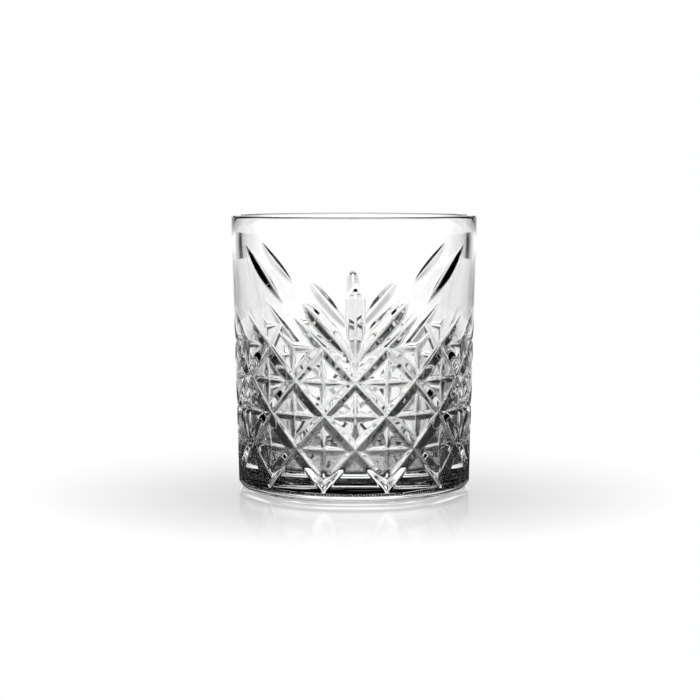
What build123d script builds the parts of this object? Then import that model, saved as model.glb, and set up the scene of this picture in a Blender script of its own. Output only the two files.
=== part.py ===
"""Whiskey tumbler: one piece of pressed glass with a pattern in the cut-glass style, in millimetres.

The glass stands on its foot with +Z up and the origin at the centre of the foot.
Angles run round the wall from the front, which is -Y, towards +X on the right.
The pattern is mirrored left to right and front to back,
so one quarter of the glass is cut, and the other three are its mirror images.
"""

import math
import os

from build123d import *

# Blank
HEIGHT = 95.0
RIM_RADIUS = 43.0
WALL_DRAFT = 2.5                # how far the outer wall draws in from the rim to the foot
FOOT_CORNER = 3.2               # rounding between the outer wall and the foot
FOOT_RING_WIDTH = 9.0           # width of the ring that touches the table
RECESS_DEPTH = 0.4              # hollow of the underside inside the foot ring
RECESS_SLOPE = 2.0              # width of the step from the ring to the hollow
RIM_WALL = 3.4                  # even thickness of the upper wall
LIP_ROUNDING = 1.0              # rounding of both edges of the rim
EVEN_WALL_DROP = 15.0           # height of the even wall under the rim; the wall thickens below it
WALL_BEND = 200.0               # rounding of the inner wall where it starts to thicken
LOW_WALL = 7.9                  # wall thickness at the cavity floor
CAVITY_CORNER = 1.8             # rounding between the inner wall and the cavity floor
FLOOR_THICKNESS = 9.0           # solid glass under the drink

# Lattice of crossing V grooves
COLUMNS = 12                    # diamonds round the glass in each row
LOWEST_ROW = 6.3                # height of the lowest crossings
ROW_PITCH = 11.38               # height from one row of crossings to the next
ROWS_UP = 4                     # rows from the lowest crossings to the highest
V_HALF_ANGLE = 55.0             # from the middle plane of a groove to its flank
GROOVE_DEPTH = 1.5
CHEVRON_DEPTH = 1.15            # depth of the grooves at the lowest crossings
TIP_RUN = 0.95                  # rows that an open groove runs past its last crossing

# Stars in the diamonds: cuts that are deepest where they cross
STAR_DEPTH = 0.88
STAR_REACH = 9.0                # from the middle of a star to the end of an arm
SLANT_REACH = 6.5               # slanting arm of the stars under the plain wall

# Fans at the front and the back, and the loose leaves beside them
FAN_FOOT_ROW = 3.6              # rows up to the foot of the fan
FAN_TILT = 42.0                 # of the two side leaves, from upright
FAN_SIDE_FOOT = 13.0            # from the foot of a side leaf to where it is full
FAN_SIDE_BODY = 6.0             # full length of a side leaf
FAN_SIDE_TOP = 8.0              # from there to its tip
FAN_SIDE_DEPTH = 1.8
FAN_MIDDLE_FOOT = 13.0          # the same four for the upright leaf
FAN_MIDDLE_BODY = 7.5
FAN_MIDDLE_TOP = 4.5
FAN_MIDDLE_DEPTH = 1.95
FAN_STEM_REACH = 6.0            # short cut below the foot of the fan
LOOSE_LEAF_ROW = 6.1            # rows up to the middle of a loose leaf
LOOSE_LEAF_HALF = 13.0          # half length of a loose leaf
LOOSE_LEAF_DEPTH = 1.43

# Cutters
CUTTER_STANDS_OUT = 3.0         # how far a cutter reaches outside the wall
OVERRUN = 0.5                   # of one length of groove into the next
POINT_RUN = 4.0                 # how far the limbs of a chevron run on to meet in its point

STEP_ANGLE = 180.0 / COLUMNS    # half a diamond
FAN_ROW = ROWS_UP - 1           # row of the crossing under each fan
QUARTER = COLUMNS // 2          # half diamonds in a quarter turn
SPREAD = math.tan(math.radians(V_HALF_ANGLE))
FOOT_END_RADIUS = RIM_RADIUS - WALL_DRAFT
WALL_LEAN = math.atan2(WALL_DRAFT, HEIGHT)


def wall_radius(z):
    """Radius of the uncut outer wall at height z."""
    return FOOT_END_RADIUS + WALL_DRAFT * z / HEIGHT


def arc_step(row):
    """Width of half a diamond along the wall at a row."""
    return math.radians(STEP_ANGLE) * wall_radius(LOWEST_ROW + row * ROW_PITCH)


def out_of_wall(step):
    """Unit vector square to the outer wall, at a number of half diamonds from the front."""
    a = math.radians(step * STEP_ANGLE)
    level = math.cos(WALL_LEAN)
    return Vector(math.sin(a) * level, -math.cos(a) * level, -math.sin(WALL_LEAN))


def on_wall(step, row, depth=0.0):
    """Point at a depth in the wall, placed by half diamonds round and rows up."""
    a = math.radians(step * STEP_ANGLE)
    z = LOWEST_ROW + row * ROW_PITCH
    r = wall_radius(z)
    return Vector(r * math.sin(a), -r * math.cos(a), z) - out_of_wall(step) * depth


def blank():
    """A quarter turn of the uncut glass, from the front to the right."""
    inner_rim = RIM_RADIUS - RIM_WALL
    even_height = HEIGHT - EVEN_WALL_DROP
    even_radius = wall_radius(even_height) - RIM_WALL
    floor_radius = wall_radius(FLOOR_THICKNESS) - LOW_WALL
    ring_inner = FOOT_END_RADIUS - FOOT_RING_WIDTH
    with BuildSketch(Plane.XZ) as sketch:
        with BuildLine():
            Polyline(
                (0, RECESS_DEPTH),
                (ring_inner - RECESS_SLOPE, RECESS_DEPTH),
                (ring_inner, 0),
                (FOOT_END_RADIUS, 0),
                (RIM_RADIUS, HEIGHT),
                (inner_rim, HEIGHT),
                (even_radius, even_height),
                (floor_radius, FLOOR_THICKNESS),
                (0, FLOOR_THICKNESS),
                close=True,
            )
        make_face()
    section = sketch.sketch.faces()[0]
    roundings = (
        (FOOT_END_RADIUS, 0, FOOT_CORNER),
        (RIM_RADIUS, HEIGHT, LIP_ROUNDING),
        (inner_rim, HEIGHT, LIP_ROUNDING),
        (even_radius, even_height, WALL_BEND),
        (floor_radius, FLOOR_THICKNESS, CAVITY_CORNER),
    )
    for x, z, radius in roundings:
        corner = section.vertices().sort_by_distance((x, 0, z))[0]
        section = section.fillet_2d(radius, [corner])
    return revolve(section, Axis.Z, 90).rotate(Axis.Z, -90)


def v_cutter(start, end, before=0.0, after=0.0):
    """V cutter whose keel runs straight from start to end, each (step, row, depth).

    before and after are how far it runs past its ends.
    """
    keel = on_wall(*end) - on_wall(*start)
    along = keel.normalized()
    outward = out_of_wall((start[0] + end[0]) / 2)
    outward = (outward - along * outward.dot(along)).normalized()
    stands = CUTTER_STANDS_OUT + max(start[2], end[2])
    foot = Plane(origin=on_wall(*start) - along * before, x_dir=outward, z_dir=along)
    triangle = Polyline((0, 0), (stands, stands * SPREAD), (stands, -stands * SPREAD), close=True)
    return extrude(foot * make_face(triangle), keel.length + before + after)


def groove(start, end, before, after):
    """Groove between two neighbouring crossings, in two lengths so that it follows the wall."""
    middle = tuple((a + b) / 2 for a, b in zip(start, end))
    return [v_cutter(start, middle, before, OVERRUN), v_cutter(middle, end, OVERRUN, after)]


def chevron_point(step):
    """Point of the chevron at a lowest crossing: what its two grooves share when both run on below it."""
    limbs = []
    for side in (-1, 1):
        middle = (step + side / 2, 0.5, (CHEVRON_DEPTH + GROOVE_DEPTH) / 2)
        limbs.append(v_cutter((step, 0, CHEVRON_DEPTH), middle, POINT_RUN, 0))
    return limbs[0] & limbs[1]


def wheel_cutter(step, row, tilt, half_length, depth):
    """V-edged wheel that cuts a leaf with its middle at (step, row), tilted from upright."""
    outward = out_of_wall(step)
    a = math.radians(step * STEP_ANGLE)
    level = Vector(math.cos(a), math.sin(a), 0)
    up = outward.cross(level)
    t = math.radians(tilt)
    along = up * math.cos(t) + level * math.sin(t)
    wall_curve = math.sin(t) ** 2 / wall_radius(LOWEST_ROW + row * ROW_PITCH)
    radius = 1 / (2 * depth / half_length**2 - wall_curve)
    stands = CUTTER_STANDS_OUT + depth
    wheel = Plane(origin=on_wall(step, row) + outward * (radius - depth), x_dir=outward,
                  z_dir=outward.cross(along))
    edge = Polyline(
        (-radius, 0, 0),
        (stands - radius, 0, stands * SPREAD),
        (stands - radius, 0, -stands * SPREAD),
        close=True,
    )
    return wheel * revolve(make_face(edge), Axis.Z, 360)


def lattice():
    """Crossing grooves from the lowest row to the highest, and the tips that run on above it."""
    cutters = []
    for row in range(ROWS_UP):
        low_depth = CHEVRON_DEPTH if row == 0 else GROOVE_DEPTH
        before = 0 if row == 0 else OVERRUN
        after = 0 if row == ROWS_UP - 1 else OVERRUN
        for step in range(-1, QUARTER + 2):
            if (step + row) % 2:
                for side in (-1, 1):
                    end = (step + side, row + 1, GROOVE_DEPTH)
                    cutters += groove((step, row, low_depth), end, before, after)
    cutters += [chevron_point(step) for step in range(-1, QUARTER + 2, 2)]
    for step in range(1, QUARTER, 2):
        crossing = (step, ROWS_UP, GROOVE_DEPTH)
        cutters.append(v_cutter(crossing, (step + TIP_RUN, ROWS_UP + TIP_RUN, 0), OVERRUN))
    return cutters


def arm(step, row, round_way, up_way, reach):
    """One arm of a star, from its middle outwards; round_way and up_way give its direction."""
    share = reach / math.hypot(round_way * arc_step(row), up_way * ROW_PITCH)
    return v_cutter((step, row, STAR_DEPTH), (step + round_way * share, row + up_way * share, 0))


def stars():
    """Four-armed stars in the closed diamonds, three-armed ones in the open diamonds above."""
    cutters = []
    cross = ((1, 0), (-1, 0), (0, 1), (0, -1))
    for row in range(1, ROWS_UP):
        for step in range(0, QUARTER + 1):
            if (step + row) % 2 == 0:
                cutters += [arm(step, row, *way, STAR_REACH) for way in cross]
    for step in range(2, QUARTER, 2):
        cutters.append(arm(step, ROWS_UP, -1, 0, STAR_REACH))
        cutters.append(arm(step, ROWS_UP, 0, -1, STAR_REACH))
        cutters.append(arm(step, ROWS_UP, 1, 1, SLANT_REACH))
    cutters += [arm(QUARTER, ROWS_UP, *way, STAR_REACH) for way in cross]
    return cutters


def fan_leaf(tilt, foot, body, top, depth):
    """Leaf of the fan: a long wheel cut at its foot, an even V along its body, a short wheel cut at its top."""
    ends = []
    for reach in (foot, foot + body):
        row = FAN_FOOT_ROW + reach * math.cos(math.radians(tilt)) / ROW_PITCH
        ends.append((reach * math.sin(math.radians(tilt)) / arc_step(row), row, depth))
    full, shoulder = ends
    return [
        wheel_cutter(full[0], full[1], tilt, foot, depth),
        v_cutter(full, shoulder),
        wheel_cutter(shoulder[0], shoulder[1], tilt, top, depth),
    ]


def leaves():
    """The fan's upright leaf, side leaves and stem, and the loose leaf beside the fan."""
    groove_tilt = math.degrees(math.atan2(arc_step(LOOSE_LEAF_ROW), ROW_PITCH))
    cutters = fan_leaf(0, FAN_MIDDLE_FOOT, FAN_MIDDLE_BODY, FAN_MIDDLE_TOP, FAN_MIDDLE_DEPTH)
    for tilt in (-FAN_TILT, FAN_TILT):
        cutters += fan_leaf(tilt, FAN_SIDE_FOOT, FAN_SIDE_BODY, FAN_SIDE_TOP, FAN_SIDE_DEPTH)
    cutters.append(arm(0, FAN_FOOT_ROW, 0, -1, FAN_STEM_REACH))
    loose_step = LOOSE_LEAF_ROW - FAN_ROW
    cutters.append(wheel_cutter(loose_step, LOOSE_LEAF_ROW, groove_tilt, LOOSE_LEAF_HALF, LOOSE_LEAF_DEPTH))
    return cutters


def tumbler():
    """The whole glass, from one cut quarter and its mirror images."""
    quarter = blank() - (lattice() + stars() + leaves())
    half = quarter + mirror(quarter, Plane.YZ)
    return half + mirror(half, Plane.XZ)


glass = tumbler()
glass.label = "tumbler"
os.makedirs("parts", exist_ok=True)
export_step(glass, "parts/tumbler.step")
print(f"tumbler: {glass.volume / 1000:.1f} cm3, {len(glass.faces())} faces, valid {glass.is_valid}")
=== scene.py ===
"""Looks of the whiskey tumbler: one closed skin of pressed glass on a pale, softly lit table.

Lengths in this script are millimetres until a mesh is made, which is in metres.
Angles run round the wall from the front, which is -Y, towards +X on the right.
"""

import math

import bpy
import numpy as np
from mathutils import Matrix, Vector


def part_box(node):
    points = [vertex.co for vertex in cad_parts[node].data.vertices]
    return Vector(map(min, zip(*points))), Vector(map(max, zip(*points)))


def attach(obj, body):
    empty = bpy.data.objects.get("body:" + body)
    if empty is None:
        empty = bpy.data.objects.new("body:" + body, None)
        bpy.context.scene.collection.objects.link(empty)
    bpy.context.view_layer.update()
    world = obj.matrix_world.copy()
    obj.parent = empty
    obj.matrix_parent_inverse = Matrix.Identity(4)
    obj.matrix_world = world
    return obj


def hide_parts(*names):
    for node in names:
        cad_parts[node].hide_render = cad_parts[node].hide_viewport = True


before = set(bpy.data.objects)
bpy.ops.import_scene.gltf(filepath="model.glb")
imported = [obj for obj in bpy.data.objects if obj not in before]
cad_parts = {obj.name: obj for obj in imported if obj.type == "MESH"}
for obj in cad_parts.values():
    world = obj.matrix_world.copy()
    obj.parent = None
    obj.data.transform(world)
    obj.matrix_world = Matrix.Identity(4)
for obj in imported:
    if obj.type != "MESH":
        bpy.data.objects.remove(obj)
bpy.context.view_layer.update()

low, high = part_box("tumbler")
MM = 0.001

# Blank, as in the CAD model; the overall height and width come from the frame
HEIGHT = (high.z - low.z) / MM
RIM_RADIUS = (high.x - low.x) / 2 / MM
WALL_DRAFT = 2.5
FOOT_CORNER = 3.2
FOOT_RING_WIDTH = 9.0
RECESS_DEPTH = 0.4
RECESS_SLOPE = 2.0
RIM_WALL = 3.4
LIP_ROUNDING = 1.0
EVEN_WALL_DROP = 15.0
WALL_BEND = 200.0
LOW_WALL = 7.9
CAVITY_CORNER = 1.8
FLOOR_THICKNESS = 9.0

# Pattern, as in the CAD model
COLUMNS = 12
LOWEST_ROW = 6.3
ROW_PITCH = 11.38
ROWS_UP = 4
V_HALF_ANGLE = 55.0
GROOVE_DEPTH = 1.5
CHEVRON_DEPTH = 1.15
TIP_RUN = 0.95
STAR_DEPTH = 0.88
STAR_REACH = 9.0
SLANT_REACH = 6.5
FAN_FOOT_ROW = 3.6
FAN_TILT = 42.0
FAN_SIDE_FOOT = 13.0
FAN_SIDE_BODY = 6.0
FAN_SIDE_TOP = 8.0
FAN_SIDE_DEPTH = 1.8
FAN_MIDDLE_FOOT = 13.0
FAN_MIDDLE_BODY = 7.5
FAN_MIDDLE_TOP = 4.5
FAN_MIDDLE_DEPTH = 1.95
FAN_STEM_REACH = 6.0
LOOSE_LEAF_ROW = 6.1
LOOSE_LEAF_HALF = 13.0
LOOSE_LEAF_DEPTH = 1.43

STEP_ANGLE = math.pi / COLUMNS
QUARTER = COLUMNS // 2
SPREAD = math.tan(math.radians(V_HALF_ANGLE))
FOOT_END_RADIUS = RIM_RADIUS - WALL_DRAFT
WALL_SLOPE = WALL_DRAFT / HEIGHT

# Mesh: cells to a half diamond, and where the fine band starts and ends, in rows
CELLS = 22
FINE_FROM = -0.36
FINE_TO = 7.1

# Mesh: points round a tight corner, the wall's bend and the cavity's corner, and the rings round the middle
CORNER_POINTS = 7
BEND_POINTS = 5
CAVITY_POINTS = 9
UNDERSIDE_RING = 10.0
FLOOR_RING = 14.0


def wall_radius(z):
    """Radius of the uncut outer wall, which widens evenly upwards."""
    return FOOT_END_RADIUS + WALL_SLOPE * z


def step_width(row):
    """Width of half a diamond along the wall at a row."""
    return STEP_ANGLE * wall_radius(LOWEST_ROW + row * ROW_PITCH)


def v_cut(u, v, start, end, start_depth, end_depth):
    """Depth of a straight V cut: that of its keel, less the distance from the keel over the spread."""
    width = step_width((start[1] + end[1]) / 2)
    run_x = (end[0] - start[0]) * width
    run_z = (end[1] - start[1]) * ROW_PITCH
    length = math.hypot(run_x, run_z)
    x = (u - start[0]) * width
    z = (v - start[1]) * ROW_PITCH
    along = (x * run_x + z * run_z) / length
    across = np.abs(x * run_z - z * run_x) / length
    bend = (run_x / length) ** 2 / wall_radius(LOWEST_ROW + start[1] * ROW_PITCH)
    keel = start_depth + (end_depth - start_depth) * along / length + along * (length - along) * bend / 2
    return np.where((along < 0) | (along > length), 0, keel - across / SPREAD)


def arm(u, v, centre, way, reach):
    """Arm of a star: a V cut from full depth at the star's middle to nothing at its end."""
    share = reach / math.hypot(way[0] * step_width(centre[1]), way[1] * ROW_PITCH)
    end = (centre[0] + way[0] * share, centre[1] + way[1] * share)
    return v_cut(u, v, centre, end, STAR_DEPTH, 0)


def leaf(u, v, centre, tilt, half_length, depth):
    """Leaf cut by a V-edged wheel: the keel's depth falls off as the square of the way to its tip."""
    x = (u - centre[0]) * step_width(centre[1])
    z = (v - centre[1]) * ROW_PITCH
    along = x * math.sin(tilt) + z * math.cos(tilt)
    across = np.abs(x * math.cos(tilt) - z * math.sin(tilt))
    return depth * (1 - (along / half_length) ** 2) - across / SPREAD


def fan_leaf(u, v, tilt, foot, body, top, depth):
    """Leaf of the fan: a long wheel cut at its foot, an even V on its body, a short wheel cut on top."""
    ends = []
    for reach in (foot, foot + body):
        row = FAN_FOOT_ROW + reach * math.cos(tilt) / ROW_PITCH
        ends.append((reach * math.sin(tilt) / step_width(row), row))
    cuts = leaf(u, v, ends[0], tilt, foot, depth)
    cuts = np.maximum(cuts, v_cut(u, v, ends[0], ends[1], depth, depth))
    return np.maximum(cuts, leaf(u, v, ends[1], tilt, top, depth))


def lattice(u, v):
    """Two families of crossing V grooves, one leaning each way.

    Between the lowest and highest rows the deeper groove wins. Below the lowest crossings the
    shallower one does, which gives each chevron its point. Above the highest only the grooves that
    lean away from the fan run on, and they rise to a tip.
    """
    width = step_width(v)
    slant = width * ROW_PITCH / np.hypot(width, ROW_PITCH)
    off_up = (u - v) % 2 - 1
    off_down = (u + v) % 2 - 1
    keel = CHEVRON_DEPTH + (GROOVE_DEPTH - CHEVRON_DEPTH) * np.clip(v, 0, 1)
    rise = GROOVE_DEPTH * np.clip(1 - (v - ROWS_UP) / TIP_RUN, -1, 1)
    leaning_out = np.minimum(keel, rise) - np.abs(off_up) * slant / SPREAD
    leaning_in = keel - np.abs(off_down) * slant / SPREAD
    node = u + v - off_down - ROWS_UP
    leaning_in = np.where((v > ROWS_UP) & (u - v < node - ROWS_UP), 0, leaning_in)
    leaning_in = np.where(v > ROWS_UP + 1, 0, leaning_in)
    leaning_out = np.where(v > ROWS_UP + TIP_RUN, 0, leaning_out)
    both = np.minimum(leaning_out, leaning_in)
    return np.where(v < 0, both, np.maximum(leaning_out, leaning_in))


def pattern_depth(u, v):
    """Depth of the pattern, u half diamonds round the wall and v rows up: the deepest cut at each point.

    u is folded into the quarter beside the front fan, and cuts that cross its edges are taken twice.
    """
    fold = np.abs((u + QUARTER) % (2 * QUARTER) - QUARTER)
    deepest = np.zeros_like(fold)
    cross = ((1, 0), (-1, 0), (0, 1), (0, -1))
    side_tilt = math.radians(FAN_TILT)
    loose = (LOOSE_LEAF_ROW - ROWS_UP + 1, LOOSE_LEAF_ROW)
    for a in (fold, -fold, 2 * QUARTER - fold):
        cuts = [lattice(a, v)] if a is fold else []
        for row in range(1, ROWS_UP):
            for step in range(row % 2, QUARTER + 1, 2):
                cuts += [arm(a, v, (step, row), way, STAR_REACH) for way in cross]
        for step in range(2, QUARTER, 2):
            cuts.append(arm(a, v, (step, ROWS_UP), (-1, 0), STAR_REACH))
            cuts.append(arm(a, v, (step, ROWS_UP), (0, -1), STAR_REACH))
            cuts.append(arm(a, v, (step, ROWS_UP), (1, 1), SLANT_REACH))
        cuts += [arm(a, v, (QUARTER, ROWS_UP), way, STAR_REACH) for way in cross]
        cuts.append(fan_leaf(a, v, 0, FAN_MIDDLE_FOOT, FAN_MIDDLE_BODY, FAN_MIDDLE_TOP, FAN_MIDDLE_DEPTH))
        cuts.append(fan_leaf(a, v, side_tilt, FAN_SIDE_FOOT, FAN_SIDE_BODY, FAN_SIDE_TOP, FAN_SIDE_DEPTH))
        cuts.append(arm(a, v, (0, FAN_FOOT_ROW), (0, -1), FAN_STEM_REACH))
        groove_tilt = math.atan2(step_width(LOOSE_LEAF_ROW), ROW_PITCH)
        cuts.append(leaf(a, v, loose, groove_tilt, LOOSE_LEAF_HALF, LOOSE_LEAF_DEPTH))
        for cut in cuts:
            deepest = np.maximum(deepest, cut)
    return deepest


def rounded(profile):
    """Points of a profile given as (radius, height, rounding, points in the rounding).

    Each rounding is an arc that touches both sides of its corner.
    """
    points = [np.array([profile[0][:2]], float)]
    for before, here, after in zip(profile, profile[1:], profile[2:]):
        corner = np.array(here[:2], float)
        if not here[2]:
            points.append(corner[None])
            continue
        to_before = np.array(before[:2]) - corner
        to_after = np.array(after[:2]) - corner
        to_before /= np.hypot(*to_before)
        to_after /= np.hypot(*to_after)
        half = math.acos(np.clip(to_before @ to_after, -1, 1)) / 2
        centre = corner + (to_before + to_after) / (2 * math.cos(half)) * here[2] / math.sin(half)
        start = corner + to_before * here[2] / math.tan(half) - centre
        turn = (math.pi - 2 * half) * np.sign(np.cross(to_after, to_before))
        t = np.linspace(0, 1, here[3])[:, None] * turn
        across = start[0] * np.cos(t) - start[1] * np.sin(t)
        up = start[0] * np.sin(t) + start[1] * np.cos(t)
        points.append(centre + np.hstack([across, up]))
    points.append(np.array([profile[-1][:2]], float))
    return np.vstack(points)


def ring_points(profile, columns):
    """Each profile point carried once round the axis: an array of rows by columns by XYZ."""
    turn = np.arange(columns) * 2 * math.pi / columns
    r, z = profile[:, :1], profile[:, 1:]
    return np.dstack([r * np.sin(turn), -r * np.cos(turn), z + 0 * turn])


def wall_points(columns):
    """The patterned band of the outer wall, on a fine grid, each point moved in by the pattern's depth."""
    rows = np.arange(round(FINE_FROM * CELLS), round(FINE_TO * CELLS) + 1) / CELLS
    u, v = np.meshgrid(np.arange(columns) / CELLS, rows)
    depth = pattern_depth(u, v)
    z = LOWEST_ROW + v * ROW_PITCH
    lean = math.atan(WALL_SLOPE)
    r = wall_radius(z) - depth * math.cos(lean)
    turn = u * STEP_ANGLE
    return np.dstack([r * np.sin(turn), -r * np.cos(turn), z + depth * math.sin(lean)])


def band_faces(first, rows, columns, crossed):
    """Triangles of a closed band of points; crossed bands turn the diagonal of every other cell."""
    i, j = np.meshgrid(np.arange(rows - 1), np.arange(columns), indexing="ij")
    a = first + i * columns + j
    b = first + i * columns + (j + 1) % columns
    c, d = b + columns, a + columns
    rising = np.stack([np.stack([a, b, c], -1), np.stack([a, c, d], -1)], -2)
    falling = np.stack([np.stack([a, b, d], -1), np.stack([b, c, d], -1)], -2)
    even = ((i + j) % 2 == 0) if crossed else np.ones_like(i, bool)
    return np.where(even[..., None, None], rising, falling).reshape(-1, 3)


def seam_faces(coarse, fine, columns, fine_above):
    """Triangles between a coarse ring and a ring with twice its points."""
    i = np.arange(columns)
    c0, c1 = coarse + i, coarse + (i + 1) % columns
    f0, f1, f2 = fine + 2 * i, fine + 2 * i + 1, fine + (2 * i + 2) % (2 * columns)
    tris = np.vstack([np.stack(t, -1) for t in ((c0, f1, f0), (c0, c1, f1), (c1, f2, f1))])
    return tris if fine_above else tris[:, ::-1]


def pole_faces(pole, ring, columns, pole_first):
    """Triangles that close a ring on one point."""
    i = np.arange(columns)
    tris = np.stack([np.full(columns, pole), ring + (i + 1) % columns, ring + i], -1)
    return tris if pole_first else tris[:, ::-1]


def make_mesh(name, points, faces):
    """Mesh object from points in millimetres and triangles, smooth all over."""
    mesh = bpy.data.meshes.new(name)
    mesh.vertices.add(len(points))
    mesh.vertices.foreach_set("co", (points * MM).astype(np.float32).ravel())
    mesh.loops.add(len(faces) * 3)
    mesh.loops.foreach_set("vertex_index", faces.astype(np.int32).ravel())
    mesh.polygons.add(len(faces))
    mesh.polygons.foreach_set("loop_start", np.arange(0, len(faces) * 3, 3, dtype=np.int32))
    mesh.update(calc_edges=True)
    mesh.validate()
    mesh.polygons.foreach_set("use_smooth", np.ones(len(faces), bool))
    piece = bpy.data.objects.new(name, mesh)
    bpy.context.scene.collection.objects.link(piece)
    return piece


def glass_skin():
    """The whole glass as one closed skin: underside, foot, patterned wall, lip, inner wall and floor."""
    fine = 2 * COLUMNS * CELLS
    coarse = fine // 2
    inner_rim = RIM_RADIUS - RIM_WALL
    even_height = HEIGHT - EVEN_WALL_DROP
    ring_inner = FOOT_END_RADIUS - FOOT_RING_WIDTH
    below = rounded([
        (0, RECESS_DEPTH, 0, 0),
        (UNDERSIDE_RING, RECESS_DEPTH, 0, 0),
        (ring_inner - RECESS_SLOPE, RECESS_DEPTH, 0, 0),
        (ring_inner, 0, 0, 0),
        (FOOT_END_RADIUS, 0, FOOT_CORNER, CORNER_POINTS),
        (wall_radius(HEIGHT), HEIGHT, 0, 0),
    ])[1:-1]
    above = rounded([
        (FOOT_END_RADIUS, 0, 0, 0),
        (wall_radius(HEIGHT), HEIGHT, LIP_ROUNDING, CORNER_POINTS),
        (inner_rim, HEIGHT, LIP_ROUNDING, CORNER_POINTS),
        (wall_radius(even_height) - RIM_WALL, even_height, WALL_BEND, BEND_POINTS),
        (wall_radius(FLOOR_THICKNESS) - LOW_WALL, FLOOR_THICKNESS, CAVITY_CORNER, CAVITY_POINTS),
        (FLOOR_RING, FLOOR_THICKNESS, 0, 0),
        (0, FLOOR_THICKNESS, 0, 0),
    ])[1:-1]
    bottom = ring_points(below, coarse)
    wall = wall_points(fine)
    top = ring_points(above, coarse)
    points = np.vstack([
        [[0, 0, RECESS_DEPTH]],
        bottom.reshape(-1, 3),
        wall.reshape(-1, 3),
        top.reshape(-1, 3),
        [[0, 0, FLOOR_THICKNESS]],
    ])
    wall_start = 1 + bottom.shape[0] * coarse
    top_start = wall_start + wall.shape[0] * fine
    faces = np.vstack([
        pole_faces(0, 1, coarse, True),
        band_faces(1, bottom.shape[0], coarse, False),
        seam_faces(wall_start - coarse, wall_start, coarse, True),
        band_faces(wall_start, wall.shape[0], fine, True),
        seam_faces(top_start, top_start - fine, coarse, False),
        band_faces(top_start, top.shape[0], coarse, False),
        pole_faces(len(points) - 1, len(points) - 1 - coarse, coarse, False),
    ])
    return make_mesh("tumbler_glass", points, faces)


def linear(hex_colour):
    """sRGB hex colour as linear RGBA."""
    channels = [int(hex_colour[i:i + 2], 16) / 255 for i in (1, 3, 5)]
    return [c / 12.92 if c < 0.04045 else ((c + 0.055) / 1.055) ** 2.4 for c in channels] + [1.0]


def add_node(tree, kind, settings=(), inputs=(), links=(), stops=()):
    """Adds one node: settings are attributes, inputs are socket values, links are (socket, source).

    stops are the greys of a colour ramp, each with its position.
    """
    node = tree.nodes.new(kind)
    for name, value in dict(settings).items():
        setattr(node, name, value)
    for socket, value in dict(inputs).items():
        node.inputs[socket].default_value = value
    for socket, source in dict(links).items():
        tree.links.new(source, node.inputs[socket])
    for count, (position, grey) in enumerate(stops):
        elements = node.color_ramp.elements
        stop = elements[count] if count < 2 else elements.new(position)
        stop.position = position
        stop.color = (grey, grey, grey, 1.0)
    return node


def new_material(name):
    """Material with an empty node tree."""
    material = bpy.data.materials.new(name)
    material.use_nodes = True
    material.node_tree.nodes.clear()
    return material


# Glass: faint waves that a mould and fire polishing leave
RIPPLE_LENGTH = 9.0
RIPPLE_HEIGHT = 0.006


def pressed_glass():
    """Clear soda-lime glass, pressed in a mould and fire-polished."""
    # Fire polishing melts the skin: edges stay crisp, the surface is glossy all over and has no frosting.
    # The mould leaves faint waves, which make straight reflections waver.
    material = new_material("clear_pressed_soda_lime_glass")
    tree = material.node_tree
    place = add_node(tree, "ShaderNodeTexCoord").outputs["Object"]
    waves = add_node(tree, "ShaderNodeTexNoise", inputs={"Scale": 1 / (RIPPLE_LENGTH * MM), "Detail": 1.0},
                     links={"Vector": place})
    bump = add_node(tree, "ShaderNodeBump", inputs={"Strength": 1.0, "Distance": RIPPLE_HEIGHT * MM},
                    links={"Height": waves.outputs[0]})
    glass = add_node(tree, "ShaderNodeBsdfPrincipled", inputs={
        "Base Color": linear("#FFFFFF"),
        "Roughness": 0.0,
        "IOR": 1.52,
        "Transmission Weight": 1.0,
    }, links={"Normal": bump.outputs["Normal"]})
    add_node(tree, "ShaderNodeOutputMaterial", links={"Surface": glass.outputs["BSDF"]})
    return material


def cos(degrees):
    """Cosine of an angle in degrees."""
    return math.cos(math.radians(degrees))


def sin(degrees):
    """Sine of an angle in degrees."""
    return math.sin(math.radians(degrees))


# Light: the screen behind the glass fills 34 degrees either side of straight behind and fades outwards.
# Its stops are cosines of the turn from straight behind.
SCREEN = 1.3
SCREEN_STOPS = ((cos(36), 0.0), (cos(32), 0.38), (cos(8), 1.0))

# Light: the same screen by height, with a dark slit over the table's far edge and none of it overhead.
# Its stops are sines of the height.
SLIT_STOPS = (
    (sin(8.6), 1.0), (sin(9.4), 0.0),
    (sin(12.6), 0.0), (sin(13.4), 1.0),
    (sin(40), 1.0), (sin(60), 0.0),
)

# Table: its edge, its finish, and stops in metres from the glass's axis for its mirror, its painted
# reflection of the screen and its painted glow
TABLE_RADIUS = 650.0
TABLE_SIDES = 96
TABLE_ROUGHNESS = 0.12
MIRROR_STOPS = ((0.035, 0.58), (0.115, 0.0))
# Stops for the painted reflection of the screen, which the table shows to the glass as glow
PAINTED_REFLECTION_STOPS = ((0.038, 0.0), (0.060, 1.0))
# Stops for the table's painted glow, dim near the glass's foot and brighter outwards
PAINTED_GLOW_STOPS = ((0.110, 0.023), (0.240, 0.7))


def screen_light(tree, way):
    """Light of the screen along a way from the glass, by its turn from straight behind, for any height."""
    split = add_node(tree, "ShaderNodeSeparateXYZ", links={"Vector": way}).outputs
    level = add_node(tree, "ShaderNodeCombineXYZ", links={"X": split["X"], "Y": split["Y"]}).outputs[0]
    unit = add_node(tree, "ShaderNodeVectorMath", {"operation": "NORMALIZE"}, links={0: level}).outputs[0]
    back = add_node(tree, "ShaderNodeSeparateXYZ", links={"Vector": unit}).outputs["Y"]
    return add_node(tree, "ShaderNodeValToRGB", links={"Fac": back}, stops=SCREEN_STOPS).outputs["Color"]


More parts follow.
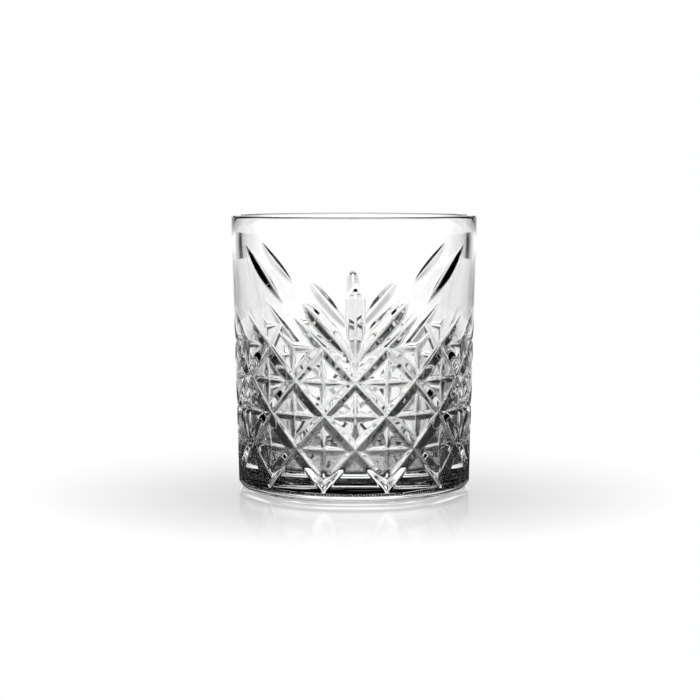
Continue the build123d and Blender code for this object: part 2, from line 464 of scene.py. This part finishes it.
def table_material():
    """White acrylic table: glossy and white to the camera; to the glass it shows a painted reflection of
    the screen and a painted glow, dim near the glass's foot.
    """
    # Acrylic mirrors softly, so the glass's foot shows in it and fades within a few centimetres.
    # To the glass, the screen's reflection at a glancing angle is painted as glow, and a painted glow, dim
    # near the glass's foot, brightens outwards.
    material = new_material("white_acrylic_table_painted_glow_and_reflection")
    tree = material.node_tree
    white = linear("#FFFFFF")
    place = add_node(tree, "ShaderNodeTexCoord").outputs["Object"]
    far = add_node(tree, "ShaderNodeVectorMath", {"operation": "LENGTH"}, links={0: place}).outputs["Value"]
    mirror = add_node(tree, "ShaderNodeValToRGB", links={"Fac": far}, stops=MIRROR_STOPS).outputs["Color"]
    plain = add_node(tree, "ShaderNodeEmission", inputs={"Color": white, "Strength": 1.0}).outputs[0]
    soft = add_node(tree, "ShaderNodeBsdfGlossy",
                    inputs={"Color": white, "Roughness": TABLE_ROUGHNESS}).outputs[0]
    to_camera = add_node(tree, "ShaderNodeMixShader", links={0: mirror, 1: plain, 2: soft}).outputs[0]
    screen = screen_light(tree, place)
    # Painted reflection of the screen: its light, by where it falls on the table and how glancing the view
    # is, shown as glow
    painted_reflection_reach = add_node(tree, "ShaderNodeValToRGB", links={"Fac": far}, stops=PAINTED_REFLECTION_STOPS).outputs["Color"]
    glancing = add_node(tree, "ShaderNodeLayerWeight", inputs={"Blend": 0.5}).outputs["Facing"]
    painted_reflection = add_node(tree, "ShaderNodeVectorMath", {"operation": "MULTIPLY"},
                     links={0: screen, 1: painted_reflection_reach}).outputs[0]
    painted_reflection = add_node(tree, "ShaderNodeVectorMath", {"operation": "MULTIPLY"},
                     links={0: painted_reflection, 1: glancing}).outputs[0]
    # Painted glow of the table, dim near the glass's foot and brighter outwards, seen only by the glass
    painted_glow = add_node(tree, "ShaderNodeValToRGB", links={"Fac": far}, stops=PAINTED_GLOW_STOPS).outputs["Color"]
    # Painted light for the glass: the brighter of the painted reflection and the painted glow
    lit = add_node(tree, "ShaderNodeVectorMath", {"operation": "MAXIMUM"},
                   links={0: painted_reflection, 1: painted_glow}).outputs[0]
    # Emission seen only by the glass: the painted reflection and the painted glow
    painted_light_to_glass = add_node(tree, "ShaderNodeEmission", inputs={"Strength": SCREEN},
                        links={"Color": lit}).outputs[0]
    seen = add_node(tree, "ShaderNodeLightPath").outputs["Is Camera Ray"]
    both = add_node(tree, "ShaderNodeMixShader", links={0: seen, 1: painted_light_to_glass, 2: to_camera}).outputs[0]
    add_node(tree, "ShaderNodeOutputMaterial", links={"Surface": both})
    return material


def studio():
    """World: a screen behind the glass, dark at its sides, overhead and in a slit; white to the camera."""
    world = bpy.data.worlds.new("studio")
    bpy.context.scene.world = world
    world.use_nodes = True
    tree = world.node_tree
    tree.nodes.clear()
    way = add_node(tree, "ShaderNodeTexCoord").outputs["Generated"]
    height = add_node(tree, "ShaderNodeSeparateXYZ", links={"Vector": way}).outputs["Z"]
    band = add_node(tree, "ShaderNodeValToRGB", links={"Fac": height}, stops=SLIT_STOPS).outputs["Color"]
    screen = screen_light(tree, way)
    lit = add_node(tree, "ShaderNodeVectorMath", {"operation": "MULTIPLY"},
                   links={0: screen, 1: band}).outputs[0]
    lamp = add_node(tree, "ShaderNodeBackground", inputs={"Strength": SCREEN},
                    links={"Color": lit}).outputs[0]
    plain = add_node(tree, "ShaderNodeBackground",
                     inputs={"Color": linear("#FFFFFF"), "Strength": 1.0}).outputs[0]
    seen = add_node(tree, "ShaderNodeLightPath").outputs["Is Camera Ray"]
    both = add_node(tree, "ShaderNodeMixShader", links={0: seen, 1: lamp, 2: plain}).outputs[0]
    add_node(tree, "ShaderNodeOutputWorld", links={"Surface": both})


glass = glass_skin()
glass.data.materials.append(pressed_glass())
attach(glass, "root")
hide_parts("tumbler")

turn = np.arange(TABLE_SIDES) * 2 * math.pi / TABLE_SIDES
disc = np.stack([TABLE_RADIUS * np.sin(turn), -TABLE_RADIUS * np.cos(turn), 0 * turn], -1)
table = make_mesh("table", np.vstack([[[0, 0, 0]], disc]), pole_faces(0, 1, TABLE_SIDES, True)[:, ::-1])
table.data.materials.append(table_material())

studio()

# Camera: eye height and distance from the glass's axis, the height that it looks at, and its lens
EYE_HEIGHT = 108.0
EYE_DISTANCE = 660.0
EYE_TURN = math.radians(-0.6)
LOOK_HEIGHT = 47.6
SENSOR_WIDTH = 36.0
LENS_LENGTH = 96.9943
LENS_SHIFT = -0.005857
camera_data = bpy.data.cameras.new("camera")
camera_data.sensor_width = SENSOR_WIDTH
camera_data.lens = LENS_LENGTH
camera_data.shift_x = LENS_SHIFT
camera = bpy.data.objects.new("camera", camera_data)
eye_x = EYE_DISTANCE * math.sin(EYE_TURN)
eye_y = -EYE_DISTANCE * math.cos(EYE_TURN)
look_down = math.atan((EYE_HEIGHT - LOOK_HEIGHT) / EYE_DISTANCE)
camera.location = (eye_x * MM, eye_y * MM, EYE_HEIGHT * MM)
camera.rotation_euler = (math.pi / 2 - look_down, 0, EYE_TURN)
bpy.context.scene.collection.objects.link(camera)
bpy.context.scene.camera = camera

scene = bpy.context.scene
scene.view_settings.view_transform = "Standard"
scene.cycles.max_bounces = 10
scene.cycles.transmission_bounces = 10
scene.cycles.glossy_bounces = 8
